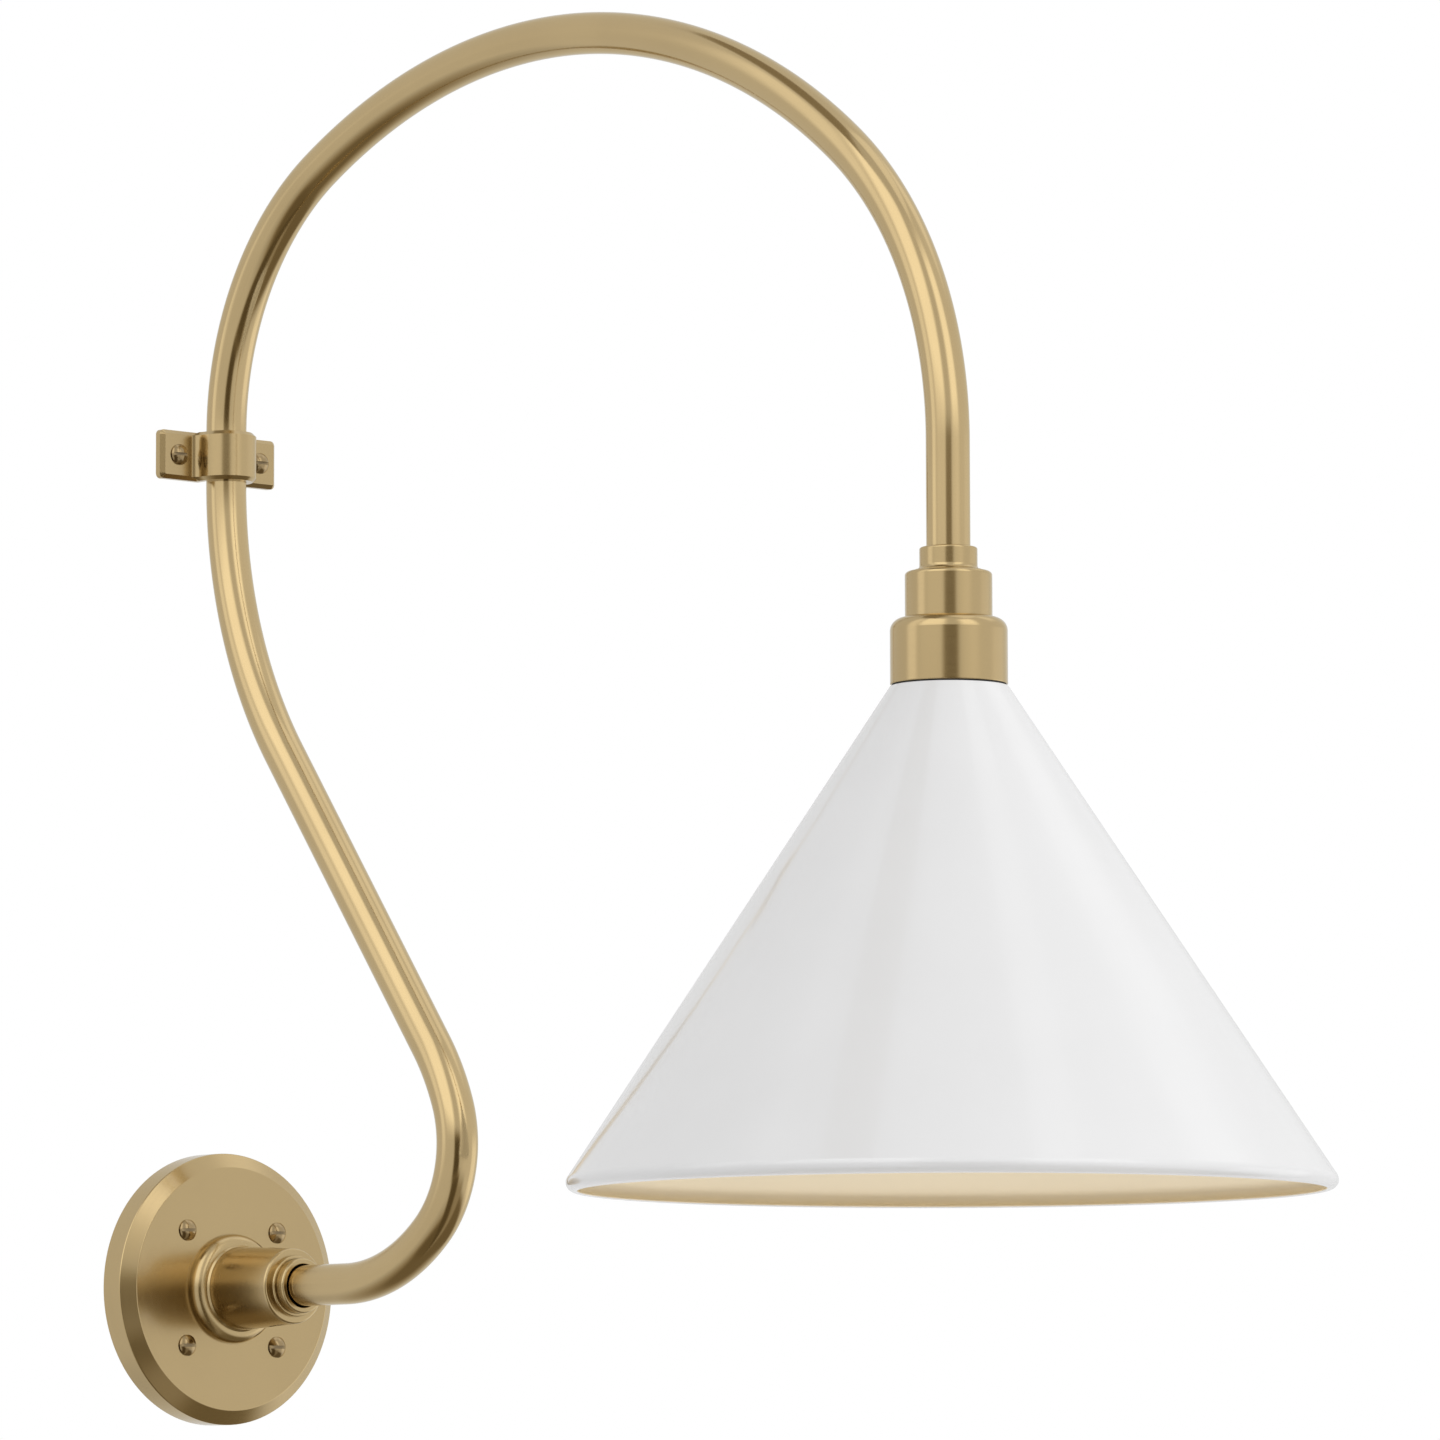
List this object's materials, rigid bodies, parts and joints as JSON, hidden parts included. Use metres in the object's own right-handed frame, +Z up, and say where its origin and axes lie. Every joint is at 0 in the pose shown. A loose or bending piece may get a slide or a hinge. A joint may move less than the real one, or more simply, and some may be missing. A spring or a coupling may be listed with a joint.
{
  "type": "gooseneck wall light",
  "caption": "Wall light with a round backplate, a bent tube arm held by a wall saddle, and a hanging cone shade over a bulb.",
  "frame": {"origin": "centre of the backplate on the wall plane", "axes": "-Y points away from the wall, +Z is up, X runs along the wall"},
  "size_m": [0.3292, 0.6784, 0.6356],
  "materials": {
    "brass_plate": "satin, brushed, lacquered antique brass",
    "brass_socket": "satin, turned, lacquered antique brass",
    "brass_tube": "satin, brushed along its length, lacquered antique brass",
    "brass_saddle": "satin, cast and linished antique brass",
    "brass_fitter": "satin, turned, lacquered antique brass",
    "brass_screw": "satin, darkened antique brass",
    "raw_brass": "plain machined",
    "zinc_steel": "zinc plated",
    "green_steel": "green dyed screw",
    "nickel": "nickel plated",
    "solder_tin": "soldered",
    "white_enamel": "gloss white outside, satin cream inside",
    "black_rubber": "matt",
    "black_phenolic": "moulded",
    "connector_nylon": "moulded",
    "black_sleeve": "smooth insulation",
    "white_sleeve": "smooth insulation",
    "green_sleeve": "smooth insulation",
    "bulb_glass": "clear",
    "clear_glass": "clear",
    "light_strip": "phosphor coated"
  },
  "bodies": {
    "fixture": {"backplate": "brass_plate", "mounting_plate": "zinc_steel", "plate_pillars": "zinc_steel", "plate_screws": "brass_screw", "arm_flange": "brass_socket", "socket_ferrule": "brass_socket", "flange_washer": "zinc_steel", "flange_lock_nut": "raw_brass", "arm_tube": "brass_tube", "wall_saddle": "brass_saddle", "saddle_screws": "brass_screw", "fitter_collar": "brass_fitter", "fitter_body": "brass_fitter", "shade_cap": "brass_fitter", "shade_gasket": "black_rubber", "tube_end_bush": "raw_brass", "hanger_nipple": "raw_brass", "nipple_nuts": "raw_brass", "lampholder_dome": "black_phenolic", "lampholder_body": "black_phenolic", "screw_shell": "raw_brass", "centre_contact": "raw_brass", "terminal_screws": "raw_brass", "live_wire": "black_sleeve", "neutral_wire": "white_sleeve", "earth_wire": "green_sleeve", "earth_screw": "green_steel", "wire_connectors": "connector_nylon"},
    "ring": {"shade_ring": "black_phenolic"},
    "shade_body": {"shade": "white_enamel"},
    "bulb": {"bulb_glass": "bulb_glass", "bulb_base": "nickel", "bulb_insulator": "black_phenolic", "bulb_contact": "solder_tin", "bulb_stem": "clear_glass", "bulb_filaments": "light_strip"}
  },
  "joints": [
    {"name": "ring_unscrew", "type": "slide", "parent": "fixture", "child": "ring", "axis": [0, 0, -1], "range_m": [0, 0.012]},
    {"name": "shade_spin", "type": "hinge", "parent": "ring", "child": "shade_body", "pos_m": [0, -0.50541, 0.2], "axis": [0, 0, 1], "continuous": true},
    {"name": "bulb_out", "type": "slide", "parent": "fixture", "child": "bulb", "axis": [0, 0, -1], "range_m": [0, 0.15]}
  ]
}
